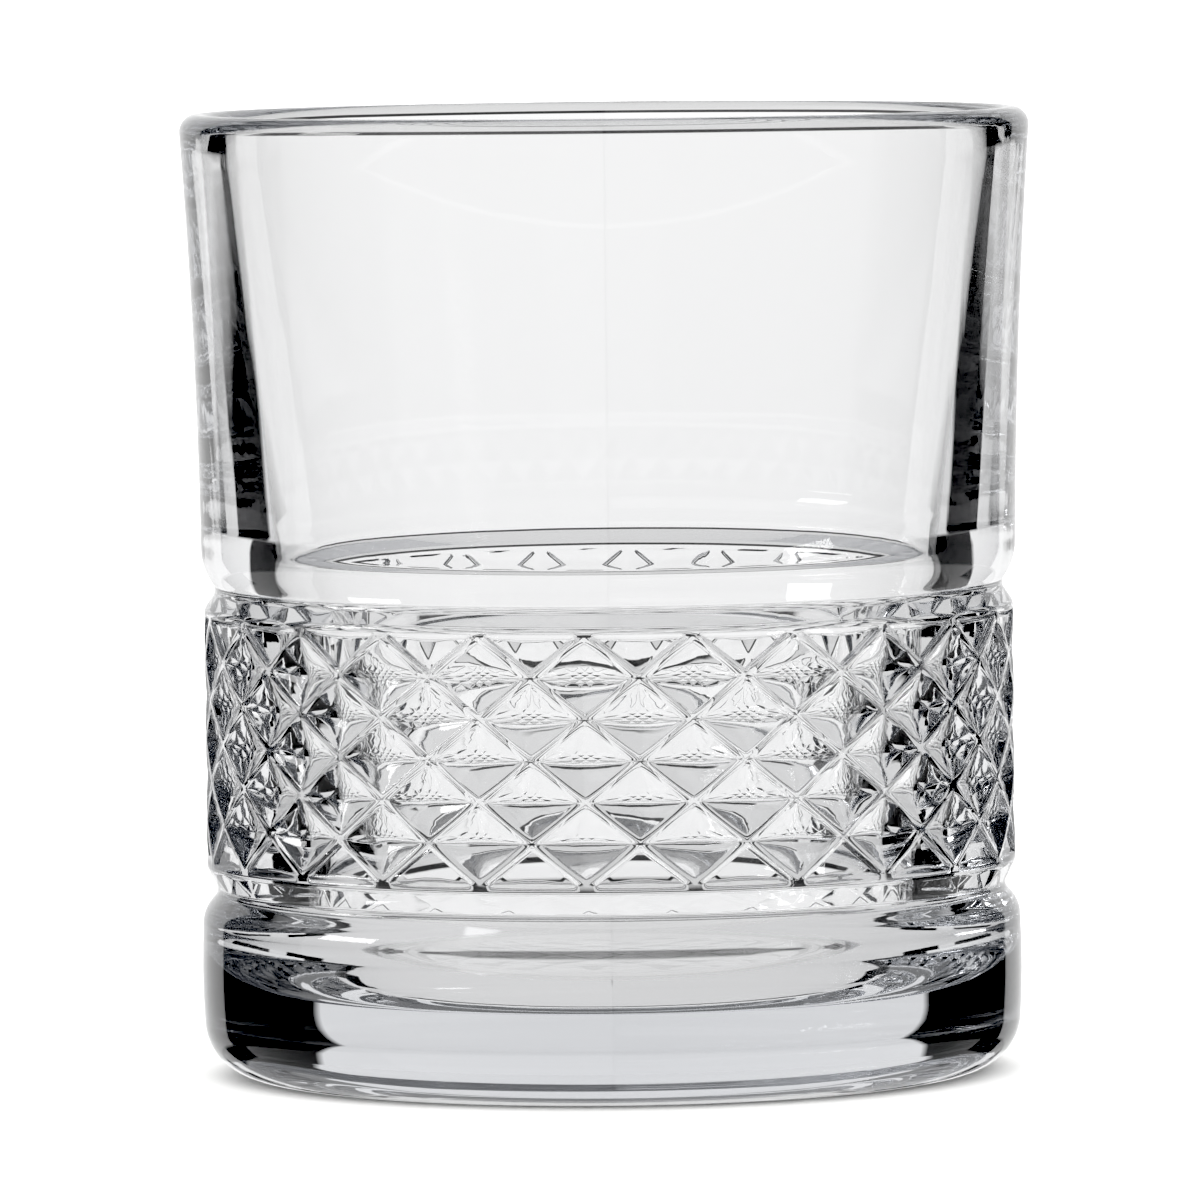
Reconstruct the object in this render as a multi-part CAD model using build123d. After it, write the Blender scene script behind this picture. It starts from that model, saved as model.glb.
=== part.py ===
"""A heavy-based whiskey tumbler in one piece of pressed glass.

The glass stands on the XY plane with its axis on Z, and the origin is the centre of its foot.
Outside, from the bottom up, are a barrel-shaped foot, a groove, a band of diamond-shaped pits
with raised ridges between them, a second groove, and a smooth wall that flares to a rounded
lip. Inside is one plain cavity. Lengths are in millimetres and angles in degrees.
"""

import math
import os

from build123d import *

# Overall size
overall_height = 94.4
rim_diameter = 83.2
lip_rounding = 1.7

# Foot
foot_belly_radius = 40.25
foot_belly_height = 10.5
foot_shoulder_radius = 40.17
contact_radius = 34.5
corner_top_radius = 40.1
corner_top_height = 5.6
recess_radius = 27.0
recess_depth = 0.8

# Grooves above and below the band, each with a corner on either side
groove_radius = 38.45
lower_groove_height = 18.2
lower_groove_start = 16.25
lower_groove_end = 20.6
upper_groove_height = 47.8
upper_groove_start = 45.9
upper_groove_end = 50.1
groove_rounding = 1.0
foot_shoulder_rounding = 3.4
band_shoulder_rounding = 1.3
wall_shoulder_rounding = 6.0

# Band of diamonds
band_radius = 39.7
diamonds_around = 24
diamonds_high = 3
band_bottom = 21.5
band_top = 45.2
ridge_width = 0.75
pit_depth = 1.3
flat_edge_depth = 0.48
flat_point_depth = 0.38
pattern_turn = 4.0

# Cutters stand out past the band, so that they cut through its surface
spike_growth = 2.0
wedge_reach = 3.0

# Smooth wall
wall_bottom_radius = 39.95
wall_middle_radius = 40.38
wall_middle_height = 70.0

# Inside of the cup
floor_height = 8.1
floor_radius = 28.75
floor_rounding = 9.0
cavity_middle_radius = 35.0
cavity_middle_height = 70.0
cavity_rim_radius = 38.2


def rounded(section, points, radius):
    """Round the corners of the section that lie at the given (radius, height) points."""
    corners = [section.vertices().sort_by_distance((x, y, 0))[0] for x, y in points]
    return fillet(corners, radius)


def turned_glass():
    """Make the glass without its diamonds, by turning half its section about Z."""
    crown = (0, recess_depth)
    recess_edge = (recess_radius, 0)
    contact_edge = (contact_radius, 0)
    corner_top = (corner_top_radius, corner_top_height)
    belly = (foot_belly_radius, foot_belly_height)
    foot_top = (foot_shoulder_radius, lower_groove_start)
    lower_groove = (groove_radius, lower_groove_height)
    band_start = (band_radius, lower_groove_end)
    band_end = (band_radius, upper_groove_start)
    upper_groove = (groove_radius, upper_groove_height)
    wall_bottom = (wall_bottom_radius, upper_groove_end)
    wall_middle = (wall_middle_radius, wall_middle_height)
    rim_outside = (rim_diameter / 2, overall_height)
    rim_inside = (cavity_rim_radius, overall_height)
    cavity_middle = (cavity_middle_radius, cavity_middle_height)
    floor_edge = (floor_radius, floor_height)
    floor_centre = (0, floor_height)
    corner_drop = math.sqrt(0.5)
    corner_middle = (
        contact_radius + (corner_top_radius - contact_radius) * corner_drop,
        corner_top_height * (1 - corner_drop),
    )
    recess_middle = (recess_radius * 0.5, recess_depth * 0.75)

    outline = Curve() + [
        ThreePointArc(crown, recess_middle, recess_edge),
        Line(recess_edge, contact_edge),
        ThreePointArc(contact_edge, corner_middle, corner_top),
        ThreePointArc(corner_top, belly, foot_top),
        Polyline(foot_top, lower_groove, band_start, band_end, upper_groove, wall_bottom),
        ThreePointArc(wall_bottom, wall_middle, rim_outside),
        Line(rim_outside, rim_inside),
        ThreePointArc(rim_inside, cavity_middle, floor_edge),
        Polyline(floor_edge, floor_centre, crown),
    ]
    section = make_face(outline.edges())
    section = rounded(section, [rim_outside, rim_inside], lip_rounding)
    section = rounded(section, [floor_edge], floor_rounding)
    section = rounded(section, [foot_top], foot_shoulder_rounding)
    section = rounded(section, [band_start, band_end], band_shoulder_rounding)
    section = rounded(section, [wall_bottom], wall_shoulder_rounding)
    section = rounded(section, [lower_groove, upper_groove], groove_rounding)
    return revolve(Plane.XZ * section, Axis.Z)


def on_band(angle, height, depth=0.0):
    """Give the point at this angle and height, this deep below the band's surface."""
    turn = math.radians(angle)
    radius = band_radius - depth
    return Vector(radius * math.cos(turn), radius * math.sin(turn), height)


def pit_cutter(angle, height, half_turn, half_height):
    """Make the four-sided spike that cuts one diamond pit."""
    tip = on_band(angle, height, pit_depth)
    corners = [
        on_band(angle - half_turn, height),
        on_band(angle, height - half_height),
        on_band(angle + half_turn, height),
        on_band(angle, height + half_height),
    ]
    outside = [tip + (corner - tip) * spike_growth for corner in corners]
    return ConvexPolyhedron([tip, *outside])


def end_cutter(angle, edge_height, point_height, half_turn):
    """Make the wedge that cuts one flat triangle at the band's top or bottom edge."""
    corners = [
        on_band(angle - half_turn, edge_height, flat_edge_depth),
        on_band(angle + half_turn, edge_height, flat_edge_depth),
        on_band(angle, point_height, flat_point_depth),
    ]
    outward = Vector(math.cos(math.radians(angle)), math.sin(math.radians(angle)), 0)
    outside = [corner + outward * wedge_reach for corner in corners]
    return ConvexPolyhedron([*corners, *outside])


def diamond_cutters():
    """Make the spikes and wedges for the whole band."""
    half_turn = 180 / diamonds_around
    half_height = (band_top - band_bottom) / diamonds_high / 2
    half_width = math.radians(half_turn) * band_radius
    inner_radius = half_width * half_height / math.hypot(half_width, half_height)
    inset = 1 - ridge_width / 2 / inner_radius
    rows = 2 * diamonds_high
    cutters = []
    for row in range(rows + 1):
        height = band_bottom + row * half_height
        shift = half_turn if row % 2 else 0
        for column in range(diamonds_around):
            angle = pattern_turn + shift + 2 * half_turn * column
            if row == 0:
                point = height + half_height * inset
                cutters.append(end_cutter(angle, height, point, half_turn * inset))
            elif row == rows:
                point = height - half_height * inset
                cutters.append(end_cutter(angle, height, point, half_turn * inset))
            else:
                cutters.append(pit_cutter(angle, height, half_turn * inset, half_height * inset))
    return cutters


tumbler_glass = turned_glass() - diamond_cutters()

os.makedirs("parts", exist_ok=True)
export_step(tumbler_glass, "parts/tumbler_glass.step")
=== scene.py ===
"""A pressed-glass whiskey tumbler, lit the way clear glass is lit in a studio.

The glass is one closed mesh: its band of diamonds is made as a sheet of small grids, and the
rest of the glass is drawn out of that sheet's two edges, ring by ring. Sizes are in
millimetres and angles in degrees until a mesh is finished, and then in metres.
"""

import logging
import math
from dataclasses import dataclass, field
from enum import Enum

import bmesh
import bpy
from mathutils import Matrix, Vector


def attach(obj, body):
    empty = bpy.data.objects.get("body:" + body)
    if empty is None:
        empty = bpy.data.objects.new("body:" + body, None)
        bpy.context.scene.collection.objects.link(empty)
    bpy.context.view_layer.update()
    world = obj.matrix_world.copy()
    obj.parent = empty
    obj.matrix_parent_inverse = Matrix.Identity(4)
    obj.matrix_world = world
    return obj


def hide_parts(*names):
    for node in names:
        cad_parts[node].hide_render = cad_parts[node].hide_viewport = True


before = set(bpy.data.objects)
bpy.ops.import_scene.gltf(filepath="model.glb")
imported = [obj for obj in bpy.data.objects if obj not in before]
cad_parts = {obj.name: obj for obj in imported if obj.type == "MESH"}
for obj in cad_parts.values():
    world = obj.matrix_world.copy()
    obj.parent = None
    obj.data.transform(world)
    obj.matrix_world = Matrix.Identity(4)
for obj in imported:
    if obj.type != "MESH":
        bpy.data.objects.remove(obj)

logging.basicConfig(level=logging.INFO, format="%(message)s")
log = logging.getLogger("tumbler")

MM = 0.001
WELD = 0.01
CUT_TOLERANCE = 1e-5
SLIVER = 1e-4
BLACK_POINT = 0.05
GLASS_BOUNCES = 32
OTHER_BOUNCES = 16
Point = tuple[float, float]
Colour = tuple[float, float, float, float]


def linear(hex_code: str) -> Colour:
    """Turn an sRGB hex colour into linear values.

    Args:
        hex_code: six hex digits, such as "f4f6f5".

    Returns:
        Linear red, green and blue, with an alpha of 1.
    """
    channels = [int(hex_code[i:i + 2], 16) / 255 for i in (0, 2, 4)]
    red, green, blue = (
        c / 12.92 if c <= 0.04045 else ((c + 0.055) / 1.055) ** 2.4 for c in channels
    )
    return red, green, blue, 1.0


def add_node(tree: bpy.types.NodeTree, kind: str, settings: dict | None = None,
             links: dict | None = None) -> bpy.types.Node:
    """Add a node, set it up and link it.

    Args:
        tree: the node tree that gets the node.
        kind: the node's type name.
        settings: attribute names, or input names and numbers, with their values.
        links: input names or numbers with the output sockets that feed them.

    Returns:
        The new node.
    """
    node = tree.nodes.new(kind)
    for key, value in (settings or {}).items():
        if isinstance(key, str) and hasattr(node, key):
            setattr(node, key, value)
        else:
            node.inputs[key].default_value = value
    for key, socket in (links or {}).items():
        tree.links.new(socket, node.inputs[key])
    return node


def smooth_step(value: float) -> float:
    """Rise smoothly from 0 to 1 as value does."""
    t = min(1.0, max(0.0, value))
    return t * t * (3 - 2 * t)


def smooth_min(a: float, b: float, blend: float) -> float:
    """Give the smaller of two numbers, rounding the change from one to the other."""
    overlap = max(blend - abs(a - b), 0.0) / blend
    return min(a, b) - overlap * overlap * blend / 4


# Outlines of the turned glass


@dataclass(frozen=True)
class Corner:
    """A corner of an outline, in millimetres, with its rounding and the steps across it."""

    radius: float
    height: float
    rounding: float = 0.0
    steps: int = 1


def arc(start: Point, middle: Point, end: Point, steps: int) -> list[Point]:
    """Draw a circular arc through three points.

    Args:
        start: where the arc starts.
        middle: any point on the way.
        end: where the arc ends.
        steps: how many pieces the arc is cut into.

    Returns:
        The arc's points after start, up to end.
    """
    a, b, c = (complex(*p) for p in (start, middle, end))
    w = (c - a) / (b - a)
    centre = (b - a) * (w - abs(w) ** 2) / (2j * w.imag) + a
    sweep_b = math.remainder(phase((b - centre) / (a - centre)), math.tau)
    sweep_c = phase((c - centre) / (a - centre))
    if sweep_b * sweep_c < 0 or abs(sweep_c) < abs(sweep_b):
        sweep_c += math.copysign(math.tau, sweep_b)
    points = []
    for i in range(1, steps + 1):
        turn = sweep_c * i / steps
        spot = centre + (a - centre) * complex(math.cos(turn), math.sin(turn))
        points.append((spot.real, spot.imag))
    return points


def phase(value: complex) -> float:
    """Give a complex number's angle."""
    return math.atan2(value.imag, value.real)


def rounded_path(corners: list[Corner]) -> list[Point]:
    """Join corners by straight runs, rounding each corner by an arc.

    Args:
        corners: the path's corners, in order. The first and the last aren't rounded.

    Returns:
        The path's points after the first corner.
    """
    points = []
    for before, corner, after in zip(corners, corners[1:], corners[2:]):
        spot = Vector((corner.radius, corner.height))
        back = (Vector((before.radius, before.height)) - spot).normalized()
        ahead = (Vector((after.radius, after.height)) - spot).normalized()
        half = back.angle(ahead) / 2
        reach = corner.rounding / math.tan(half)
        axis = (back + ahead).normalized()
        middle = spot + axis * (corner.rounding / math.sin(half) - corner.rounding)
        start = spot + back * reach
        end = spot + ahead * reach
        points.append((start.x, start.y))
        points += arc(tuple(start), tuple(middle), tuple(end), corner.steps)
    points.append((corners[-1].radius, corners[-1].height))
    return points


@dataclass(frozen=True)
class Outline:
    """The half section of the glass, above and below its band."""

    height: float = 94.4
    rim_radius: float = 41.6
    rim_inner_radius: float = 38.15
    lip_rounding: float = 1.72

    foot_radius: float = 40.17
    belly_radius: float = 40.25
    belly_height: float = 10.5
    corner_radius: float = 40.1
    corner_height: float = 5.6
    contact_radius: float = 34.5
    recess_radius: float = 27.0
    recess_depth: float = 0.8

    band_shoulder: float = 1.3
    groove_rounding: float = 1.0
    upper_groove: Point = (38.43, 47.8)
    upper_groove_start: float = 45.9
    upper_groove_end: float = 50.1
    upper_shoulder: float = 6.0
    lower_groove: Point = (38.5, 18.2)
    lower_groove_start: float = 20.6
    lower_groove_end: float = 16.25
    lower_shoulder: float = 3.4

    wall_radius: float = 39.95
    wall_middle_radius: float = 40.38
    wall_middle_height: float = 70.0

    floor_height: float = 8.1
    floor_radius: float = 28.75
    floor_rounding: float = 9.0
    cavity_middle_radius: float = 35.0
    cavity_middle_height: float = 70.0

    shoulder_steps: int = 5
    groove_steps: int = 4
    far_shoulder_steps: int = 6
    wall_steps: int = 14
    lip_steps: int = 14
    cavity_steps: int = 24
    cavity_steps_rounded: int = 4
    floor_steps: int = 10
    foot_steps: int = 6
    corner_steps: int = 12
    recess_steps: int = 7

    def groove(self, start: Point, near: float, bottom: Point, far: Point,
               shoulder: float) -> list[Point]:
        """Draw one groove, from an edge of the band to the shoulder beyond it.

        Args:
            start: the point on the band's edge.
            near: the height at which the groove starts.
            bottom: the deepest point.
            far: the corner where the groove ends.
            shoulder: the rounding of that corner.

        Returns:
            The groove's points after start.
        """
        beyond = far[1] + math.copysign(2.0, far[1] - start[1])
        return rounded_path([
            Corner(*start),
            Corner(start[0], near, self.band_shoulder, self.shoulder_steps),
            Corner(*bottom, self.groove_rounding, self.groove_steps),
            Corner(*far, shoulder, self.far_shoulder_steps),
            Corner(far[0], beyond),
        ])

    def above(self, start: Point) -> list[Point]:
        """Draw the outline from the band's top, over the lip and down to the floor's middle.

        Args:
            start: the point just above the band's top edge.

        Returns:
            The outline's points after start.
        """
        far = (self.wall_radius, self.upper_groove_end)
        points = self.groove(
            start, self.upper_groove_start, self.upper_groove, far, self.upper_shoulder
        )
        lip_side = self.height - self.lip_rounding
        lip_top = ((self.rim_radius + self.rim_inner_radius) / 2, self.height)
        middle = (self.wall_middle_radius, self.wall_middle_height)
        points += arc(points[-1], middle, (self.rim_radius, lip_side), self.wall_steps)
        lip_end = (self.rim_inner_radius, lip_side)
        points += arc(points[-1], lip_top, lip_end, self.lip_steps)
        middle = (self.cavity_middle_radius, self.cavity_middle_height)
        floor_edge = (self.floor_radius, self.floor_height)
        wall = arc(points[-1], middle, floor_edge, self.cavity_steps)
        straight = len(wall) - self.cavity_steps_rounded
        points += wall[:straight]
        floor = [
            Corner(*points[-1]),
            Corner(*floor_edge, self.floor_rounding, self.floor_steps),
            Corner(self.floor_radius * 0.6, self.floor_height),
        ]
        points += rounded_path(floor)
        points.append((self.floor_radius * 0.3, self.floor_height))
        return points

    def below(self, start: Point) -> list[Point]:
        """Draw the outline from the band's bottom, round the foot to the underside's middle.

        Args:
            start: the point just below the band's bottom edge.

        Returns:
            The outline's points after start.
        """
        far = (self.foot_radius, self.lower_groove_end)
        points = self.groove(
            start, self.lower_groove_start, self.lower_groove, far, self.lower_shoulder
        )
        corner_top = (self.corner_radius, self.corner_height)
        belly = (self.belly_radius, self.belly_height)
        points += arc(points[-1], belly, corner_top, self.foot_steps)
        run = self.corner_radius - self.contact_radius
        middle = (
            self.contact_radius + run * math.sqrt(0.5),
            self.corner_height * (1 - math.sqrt(0.5)),
        )
        points += arc(corner_top, middle, (self.contact_radius, 0.0), self.corner_steps)
        points.append((self.recess_radius, 0.0))
        middle = (self.recess_radius * 0.5, self.recess_depth * 0.75)
        crown = (self.recess_radius * 0.1, self.recess_depth)
        points += arc(points[-1], middle, crown, self.recess_steps)
        return points


# Band of diamonds


class CellShape(Enum):
    """What one cell of the band is: a whole pit, or a flat half cell at an edge."""

    PIT = "pit"
    TOP_FLAT = "top flat"
    BOTTOM_FLAT = "bottom flat"


@dataclass(frozen=True)
class DiamondBand:
    """Diamond-shaped pits in rows, with raised ridges between them."""

    radius: float = 39.7
    bottom: float = 21.5
    top: float = 45.2
    around: int = 24
    high: int = 3
    turn: float = 4.0
    ridge_width: float = 0.75
    ridge_blend: float = 0.08
    pit_depth: float = 1.3
    valley_rounding: float = 0.3
    flat_depth: float = 0.48
    flat_lean: float = 0.1
    flat_edge: float = 0.16
    flat_corner: float = 0.5
    rings: tuple[float, ...] = (0.3, 0.58, 0.77, 0.8, 0.825, 0.85, 0.88, 1.0)
    crowding: float = 1.5

    @property
    def half_turn(self) -> float:
        """Half a cell's width, in degrees."""
        return 180 / self.around

    @property
    def half_width(self) -> float:
        """Half a cell's width, in millimetres round the band."""
        return math.radians(self.half_turn) * self.radius

    @property
    def half_height(self) -> float:
        """Half a cell's height, in millimetres."""
        return (self.top - self.bottom) / self.high / 2

    @property
    def half_across(self) -> float:
        """The distance from a cell's centre to its sides, in millimetres."""
        return self.half_width * self.half_height / math.hypot(self.half_width, self.half_height)

    @property
    def inset(self) -> float:
        """The share of a cell inside the flat tops of its ridges."""
        return 1 - self.ridge_width / 2 / self.half_across

    def spread(self, a: float, b: float) -> Point:
        """Move a point of an even grid so that rings crowd at the ridges and valleys.

        Args:
            a: the point's place along the grid's first side, from -1 to 1.
            b: the point's place along the second side.

        Returns:
            The new place.
        """
        ring = max(abs(a), abs(b))
        count = len(self.rings)
        if ring * count < 0.5:
            return 0.0, 0.0
        size = self.rings[round(ring * count) - 1]
        out = []
        for value in (a, b):
            share = abs(value) / ring
            crowded = 1 - (1 - share) ** self.crowding
            out.append(math.copysign(size * crowded, value))
        return out[0], out[1]

    def pit_radius(self, turn: float, rise: float) -> float:
        """Give the radius of a pit's four facets.

        Args:
            turn: the angle from the pit's centre.
            rise: the height above the pit's centre.

        Returns:
            The radius, which passes the band's own outside the pit.
        """
        edge = math.radians(self.half_turn * self.inset)
        floor = self.radius - self.pit_depth
        across_slope = (self.radius * math.cos(edge) - floor) / (self.radius * math.sin(edge))
        up_slope = self.pit_depth / (self.half_height * self.inset)
        side = self.radius * abs(math.sin(math.radians(turn)))
        share_side = min(1.0, side / (self.half_width * self.inset))
        share_up = min(1.0, abs(rise) / (self.half_height * self.inset))
        soft_up = math.hypot(rise, self.valley_rounding * (1 - share_side))
        soft_side = math.hypot(side, self.valley_rounding * (1 - share_up))
        along = floor + across_slope * soft_side + up_slope * soft_up
        return along / math.cos(math.radians(turn))

    def flat_radius(self, turn: float, rise: float) -> float:
        """Give the radius of a flat half cell, sunk a little inside its ridges.

        Args:
            turn: the angle from the cell's centre.
            rise: the height above the band's edge.

        Returns:
            The radius.
        """
        tip = self.half_height * self.inset
        plane = self.radius - self.flat_depth + self.flat_lean * abs(rise) / tip
        sunk = self.radius - plane / math.cos(math.radians(turn))
        across = abs(math.radians(turn)) * self.radius / self.half_width
        to_side = (self.inset - across - abs(rise) / self.half_height) * self.half_across
        inside = smooth_min(to_side, abs(rise) + self.flat_edge, self.flat_corner)
        return self.radius - max(0.0, sunk) * smooth_step(inside / self.flat_edge)

    def surface(self, shape: CellShape, turn: float, rise: float) -> float:
        """Give the radius of a cell's surface at a place in it.

        Args:
            shape: what the cell is.
            turn: the angle from the cell's centre.
            rise: the height above the cell's centre.

        Returns:
            The radius.
        """
        if shape is not CellShape.PIT:
            return self.flat_radius(turn, rise)
        return smooth_min(self.radius, self.pit_radius(turn, rise), self.ridge_blend)

    def add_cell(self, mesh: bmesh.types.BMesh, column: int, row: int) -> None:
        """Add one cell of the band.

        Args:
            mesh: the mesh that gets the cell.
            column: the cell's centre, in half cells round the band.
            row: the cell's centre, in half cells up the band.
        """
        last = 2 * self.high
        shape = CellShape.PIT
        if row == 0:
            shape = CellShape.BOTTOM_FLAT
        elif row == last:
            shape = CellShape.TOP_FLAT
        side = 2 * len(self.rings)
        made = bmesh.ops.create_grid(mesh, x_segments=side, y_segments=side, size=1.0)
        verts = made["verts"]
        for v in verts:
            a, b = self.spread(v.co.x, v.co.y)
            v.co = Vector(((a + b) / 2, 0.0, (a - b) / 2))
        if shape is not CellShape.PIT:
            verts = self.keep_half(mesh, verts, up=shape is CellShape.BOTTOM_FLAT)
        centre_turn = self.turn + column * self.half_turn
        centre_height = self.bottom + row * self.half_height
        for v in verts:
            turn = v.co.x * self.half_turn
            rise = v.co.z * self.half_height
            radius = self.surface(shape, turn, rise)
            angle = math.radians(centre_turn + turn)
            v.co = Vector((
                radius * math.cos(angle),
                radius * math.sin(angle),
                centre_height + rise,
            ))

    @staticmethod
    def keep_half(mesh: bmesh.types.BMesh, verts: list, up: bool) -> list:
        """Cut a cell along its middle and keep one half.

        Args:
            mesh: the mesh that holds the cell.
            verts: the cell's points.
            up: whether the upper half stays.

        Returns:
            The points that are left.
        """
        faces = {f for v in verts for f in v.link_faces}
        edges = {e for v in verts for e in v.link_edges}
        cut = bmesh.ops.bisect_plane(
            mesh,
            geom=[*verts, *edges, *faces],
            dist=CUT_TOLERANCE,
            plane_co=(0, 0, 0),
            plane_no=(0, 0, 1),
            clear_inner=up,
            clear_outer=not up,
        )
        return [g for g in cut["geom"] if isinstance(g, bmesh.types.BMVert) and g.is_valid]

    def build(self) -> bmesh.types.BMesh:
        """Make the whole band as one open sheet, from one column of cells turned round.

        Returns:
            The sheet, in millimetres.
        """
        mesh = bmesh.new()
        for row in range(2 * self.high + 1):
            self.add_cell(mesh, row % 2, row)
        bmesh.ops.remove_doubles(mesh, verts=mesh.verts, dist=WELD)
        bmesh.ops.spin(
            mesh,
            geom=[*mesh.verts, *mesh.edges, *mesh.faces],
            cent=(0, 0, 0),
            axis=(0, 0, 1),
            angle=math.tau * (self.around - 1) / self.around,
            steps=self.around - 1,
            use_duplicate=True,
        )
        bmesh.ops.remove_doubles(mesh, verts=mesh.verts, dist=WELD)
        return mesh


# Materials


@dataclass(frozen=True)
class PressedGlass:
    """Soda-lime glass, pressed in a polished mould and fire-polished.

    It is clear with a trace of grey-green in its depth, mirror smooth, and its surface keeps
    a faint slow ripple from the mould and the flame.
    """

    ior: float = 1.52
    roughness: float = 0.0
    tint: str = "e7e8ea"
    tint_density: float = 25.0
    ripple_width: float = 9.0
    ripple_height: float = 0.006

    def make(self) -> bpy.types.Material:
        """Make the material.

        Returns:
            The glass, as a clear surface with a tint that deepens with thickness.
        """
        material = bpy.data.materials.new("clear_soda_lime_glass")
        material.use_nodes = True
        tree = material.node_tree
        tree.nodes.clear()
        coords = add_node(tree, "ShaderNodeTexCoord")
        ripple = add_node(
            tree, "ShaderNodeTexNoise",
            {"Scale": 1 / (self.ripple_width * MM), "Detail": 1.0, "Roughness": 0.4},
            {"Vector": coords.outputs["Object"]},
        )
        bump = add_node(
            tree, "ShaderNodeBump",
            {"Strength": 1.0, "Distance": self.ripple_height * MM},
            {"Height": ripple.outputs["Fac"]},
        )
        shader = add_node(
            tree, "ShaderNodeBsdfPrincipled",
            {
                "Base Color": (1.0, 1.0, 1.0, 1.0),
                "Roughness": self.roughness,
                "IOR": self.ior,
                "Transmission Weight": 1.0,
            },
            {"Normal": bump.outputs["Normal"]},
        )
        depth = add_node(
            tree, "ShaderNodeVolumeAbsorption",
            {"Color": linear(self.tint), "Density": self.tint_density},
        )
        add_node(
            tree, "ShaderNodeOutputMaterial", {},
            {"Surface": shader.outputs["BSDF"], "Volume": depth.outputs["Volume"]},
        )
        return material


@dataclass(frozen=True)
class PaperFloor:
    """Matt white paper, which spreads light evenly."""

    colour: str = "f6f6f5"

    def make(self) -> bpy.types.Material:
        """Make the material.

        Returns:
            The paper, as a plain matt surface.
        """
        material = bpy.data.materials.new("matt_white_paper")
        material.use_nodes = True
        tree = material.node_tree
        tree.nodes.clear()
        shader = add_node(
            tree, "ShaderNodeBsdfDiffuse", {"Color": linear(self.colour), "Roughness": 0.0}
        )
        add_node(tree, "ShaderNodeOutputMaterial", {}, {"Surface": shader.outputs["BSDF"]})
        return material


# The glass


@dataclass
class Tumbler:
    """The whole glass as one closed mesh."""

    outline: Outline = field(default_factory=Outline)
    band: DiamondBand = field(default_factory=DiamondBand)
    finish: PressedGlass = field(default_factory=PressedGlass)
    edge_step: float = 0.12
    name: str = "tumbler"

    @staticmethod
    def edge_loop(mesh: bmesh.types.BMesh, height: float) -> list:
        """Find the open edges of the mesh that lie at a height.

        Args:
            mesh: the mesh to look in.
            height: the height, in millimetres.

        Returns:
            The edges.
        """
        return [
            e for e in mesh.edges
            if e.is_boundary and all(abs(v.co.z - height) < WELD for v in e.verts)
        ]

    @staticmethod
    def draw_out(mesh: bmesh.types.BMesh, edges: list, path: list[Point]) -> None:
        """Extrude a closed loop of edges along a path, and close it at the axis.

        Args:
            mesh: the mesh that holds the loop.
            edges: the loop's edges.
            path: the (radius, height) of each new ring.
        """
        for radius, height in path:
            made = bmesh.ops.extrude_edge_only(mesh, edges=edges)["geom"]
            edges = [g for g in made if isinstance(g, bmesh.types.BMEdge)]
            for v in (g for g in made if isinstance(g, bmesh.types.BMVert)):
                outward = Vector((v.co.x, v.co.y, 0)).normalized()
                v.co = outward * radius + Vector((0, 0, height))
        made = bmesh.ops.extrude_edge_only(mesh, edges=edges)["geom"]
        hub = [g for g in made if isinstance(g, bmesh.types.BMVert)]
        bmesh.ops.pointmerge(mesh, verts=hub, merge_co=(0, 0, path[-1][1]))

    def build(self) -> bpy.types.Object:
        """Make the glass's mesh and object.

        Returns:
            The glass, standing on the floor at the origin.
        """
        band = self.band
        mesh = band.build()
        top = self.edge_loop(mesh, band.top)
        bottom = self.edge_loop(mesh, band.bottom)
        log.info("band edges: %d above, %d below", len(top), len(bottom))
        above = (band.radius, band.top + self.edge_step)
        below = (band.radius, band.bottom - self.edge_step)
        self.draw_out(mesh, top, [above, *self.outline.above(above)])
        self.draw_out(mesh, bottom, [below, *self.outline.below(below)])
        bmesh.ops.dissolve_degenerate(mesh, dist=SLIVER, edges=mesh.edges)
        bmesh.ops.recalc_face_normals(mesh, faces=mesh.faces)
        bmesh.ops.scale(mesh, vec=(MM, MM, MM), verts=mesh.verts)
        for face in mesh.faces:
            face.smooth = True
        data = bpy.data.meshes.new(self.name)
        mesh.to_mesh(data)
        mesh.free()
        piece = bpy.data.objects.new(self.name, data)
        bpy.context.scene.collection.objects.link(piece)
        data.materials.append(self.finish.make())
        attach(piece, "root")
        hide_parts("tumbler_glass")
        return piece


# Studio


@dataclass(frozen=True)
class Sector:
    """A part of the studio's surround, by compass angle from straight behind the glass."""

    left: float
    right: float
    low: float
    high: float
    level: float
    edge: float = 1.0


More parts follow.
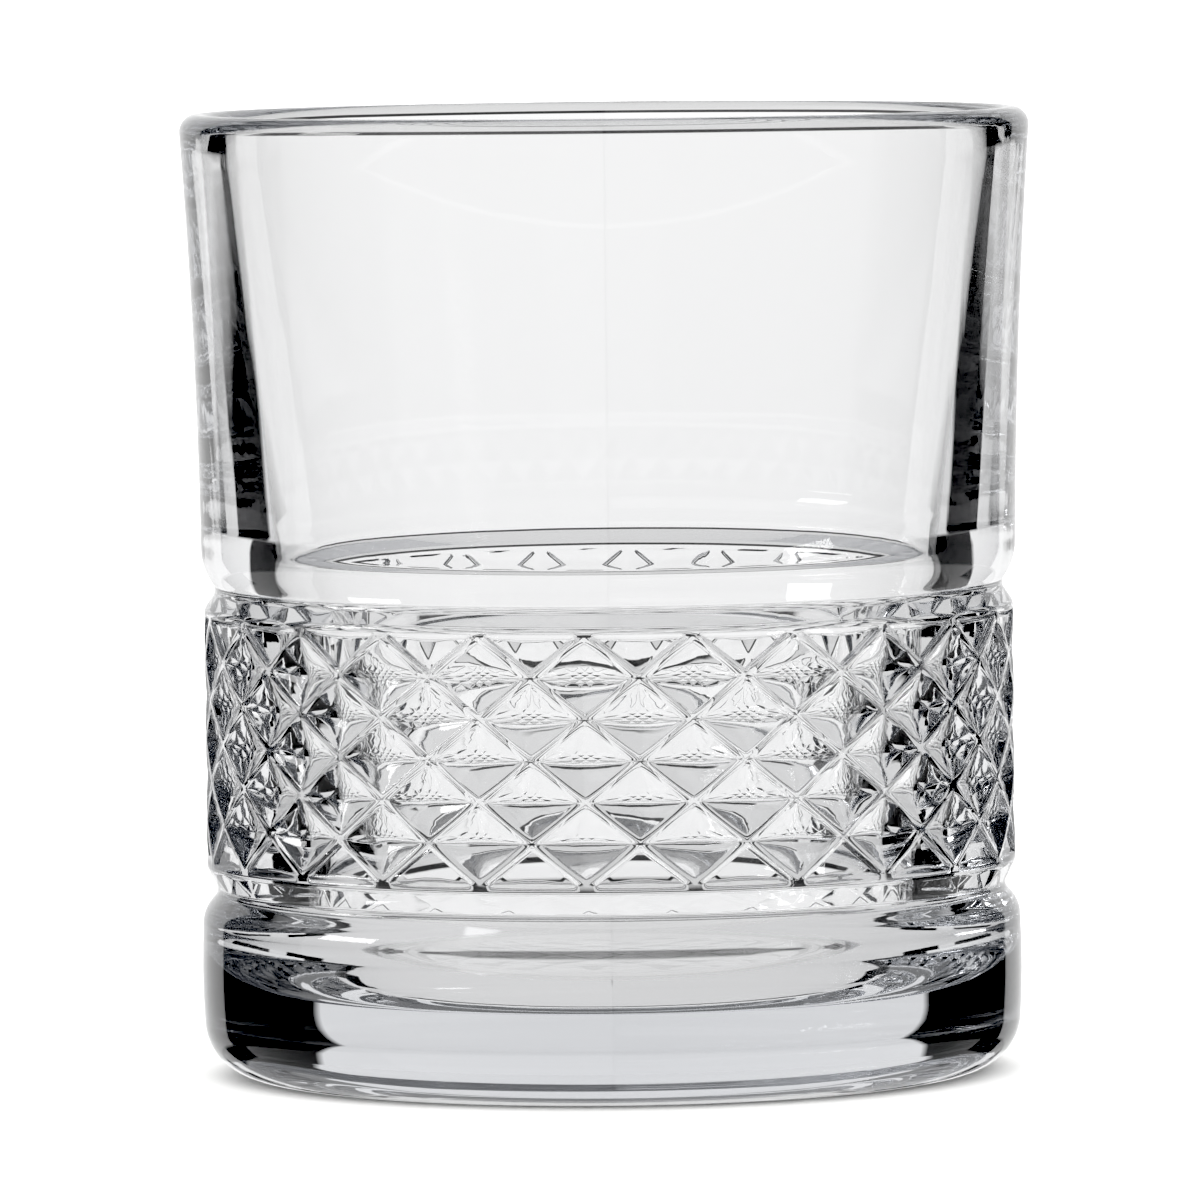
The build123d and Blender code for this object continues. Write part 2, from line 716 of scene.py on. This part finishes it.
@dataclass
class Studio:
    """A pale floor, a white backdrop, dark flags beside it and a window-like softbox."""

    floor_radius: float = 6.0
    floor_sides: int = 64
    white: float = 1.9
    room: float = 0.0
    sectors: tuple[Sector, ...] = (
        # Ceiling, and the big soft light above and to the left
        Sector(-180, 180, 24, 91, 0.3, 14.0),
        Sector(-181, -56, 20, 64, 1.0, 10.0),
        # Pale table, and its lit front
        Sector(-180, 180, -91, -15, 0.8, 2.0),
        Sector(-181, -110, -50, -15, 1.1, 2.0),
        # Painted shade: the dark gap between the table and the backdrop, with the table's far
        # edge pale across its middle and the very middle dark again
        Sector(-48, -27, -23.5, -14.5, 0.0, 1.5),
        Sector(27, 48, -23.5, -14.5, 0.0, 1.5),
        Sector(-27, 27, -21.5, -14.5, 0.9, 1.5),
        Sector(-16, 16, -21.5, -14.5, 0.05, 1.5),
        # White backdrop
        Sector(-38, 34.5, -14.5, 31, 1.05, 1.5),
        # Side flags: grey on the left, nearly black on the right
        Sector(-181, -82, -14.5, 14, 0.35, 2.0),
        Sector(80, 181, -14.5, 14, 0.05, 2.0),
        # Small bright window
        Sector(-108, -88, 12, 24, 8.0, 0.6),
    )

    def floor(self) -> bpy.types.Object:
        """Make the floor as a wide disc that the glass's own rays look past.

        Returns:
            The floor.
        """
        mesh = bmesh.new()
        bmesh.ops.create_circle(
            mesh, cap_ends=True, radius=self.floor_radius, segments=self.floor_sides
        )
        data = bpy.data.meshes.new("floor")
        mesh.to_mesh(data)
        mesh.free()
        floor = bpy.data.objects.new("floor", data)
        bpy.context.scene.collection.objects.link(floor)
        data.materials.append(PaperFloor().make())
        floor.visible_transmission = False
        floor.visible_glossy = False
        return floor

    def surround(self) -> bpy.types.World:
        """Make the lights, cards and flags all round as one painted sky.

        Returns:
            The world. What the glass sees of it is painted, and the rest is plain white.
        """
        world = bpy.data.worlds.new("studio_surround")
        world.use_nodes = True
        tree = world.node_tree
        tree.nodes.clear()
        coords = add_node(tree, "ShaderNodeTexCoord")
        axes = add_node(
            tree, "ShaderNodeSeparateXYZ", {}, {"Vector": coords.outputs["Generated"]}
        )

        def maths(kind: str, *values: object) -> bpy.types.NodeSocket:
            """Join numbers and sockets by one sum.

            Args:
                kind: the sum's type name.
                values: what goes in, in order.

            Returns:
                The socket that gives the answer.
            """
            settings = {"operation": kind}
            links = {}
            for i, value in enumerate(values):
                if isinstance(value, bpy.types.NodeSocket):
                    links[i] = value
                else:
                    settings[i] = value
            return add_node(tree, "ShaderNodeMath", settings, links).outputs[0]

        compass = maths("ARCTAN2", axes.outputs["X"], axes.outputs["Y"])
        compass = maths("DEGREES", compass)
        climb = maths("DEGREES", maths("ARCSINE", axes.outputs["Z"]))

        def inside(value: bpy.types.NodeSocket, low: float, high: float,
                   edge: float) -> bpy.types.NodeSocket:
            """Give 1 where a value is between two others, and 0 elsewhere.

            Args:
                value: the socket that gives the value.
                low: the lower of the two.
                high: the higher of the two.
                edge: the width of the soft edge at both.

            Returns:
                The socket that gives the answer.
            """
            middle, half = (low + high) / 2, (high - low) / 2
            off = maths("ABSOLUTE", maths("SUBTRACT", value, middle))
            step = maths("DIVIDE", maths("SUBTRACT", half, off), edge)
            share = add_node(tree, "ShaderNodeClamp", {}, {"Value": maths("ADD", step, 0.5)})
            return share.outputs[0]

        level = maths("ADD", self.room, 0.0)
        for s in self.sectors:
            share = maths(
                "MULTIPLY",
                inside(compass, s.left, s.right, s.edge),
                inside(climb, s.low, s.high, s.edge),
            )
            change = maths("SUBTRACT", s.level, level)
            level = maths("MULTIPLY_ADD", share, change, level)
        light = add_node(tree, "ShaderNodeLightPath")
        plain = maths(
            "MAXIMUM", light.outputs["Is Camera Ray"], light.outputs["Is Diffuse Ray"]
        )
        strength = add_node(
            tree, "ShaderNodeMix", {"data_type": "FLOAT", 3: self.white},
            {0: plain, 2: level},
        )
        sky = add_node(
            tree, "ShaderNodeBackground", {"Color": linear("ffffff")},
            {"Strength": strength.outputs[0]},
        )
        add_node(tree, "ShaderNodeOutputWorld", {}, {"Surface": sky.outputs[0]})
        world.cycles.sampling_method = "NONE"
        bpy.context.scene.world = world
        return world

    def build(self) -> None:
        """Make the whole studio."""
        self.floor()
        self.surround()
        log.info("studio: floor and surround")


@dataclass(frozen=True)
class Camera:
    """A long lens, a little above the rim and looking slightly down."""

    distance: float = 1200.0
    height: float = 120.0
    aim_side: float = -0.85
    aim_height: float = 46.3
    lens: float = 367.4
    sensor: float = 36.0
    roll: float = -0.6

    def build(self) -> bpy.types.Object:
        """Make the camera and give it to the scene.

        Returns:
            The camera.
        """
        data = bpy.data.cameras.new("camera")
        data.sensor_width = self.sensor
        data.lens = self.lens
        camera = bpy.data.objects.new("camera", data)
        bpy.context.scene.collection.objects.link(camera)
        place = Vector((self.aim_side, -self.distance, self.height)) * MM
        aim = Vector((self.aim_side, 0.0, self.aim_height)) * MM
        turn = (aim - place).to_track_quat("-Z", "Y").to_matrix().to_4x4()
        roll = Matrix.Rotation(math.radians(self.roll), 4, "Z")
        camera.matrix_world = Matrix.Translation(place) @ turn @ roll
        bpy.context.scene.camera = camera
        return camera


def set_looks() -> None:
    """Let light pass through many layers of glass, and show white as white, black as black."""
    scene = bpy.context.scene
    view = scene.view_settings
    view.view_transform = "Standard"
    view.use_curve_mapping = True
    view.curve_mapping.black_level = (BLACK_POINT, BLACK_POINT, BLACK_POINT)
    view.curve_mapping.update()
    cycles = scene.cycles
    cycles.max_bounces = GLASS_BOUNCES
    cycles.transmission_bounces = GLASS_BOUNCES
    cycles.glossy_bounces = OTHER_BOUNCES
    cycles.transparent_max_bounces = OTHER_BOUNCES


def main() -> None:
    """Build the glass, its studio and the camera, and note the glass's triangle count and the
    camera's place.
    """
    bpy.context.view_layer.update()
    piece = Tumbler().build()
    piece.data.calc_loop_triangles()
    log.info("%s: one piece, %d triangles", piece.name, len(piece.data.loop_triangles))
    Studio().build()
    camera = Camera().build()
    log.info("%s: at %s", camera.name, tuple(camera.location))
    set_looks()


if __name__ == "__main__":
    main()
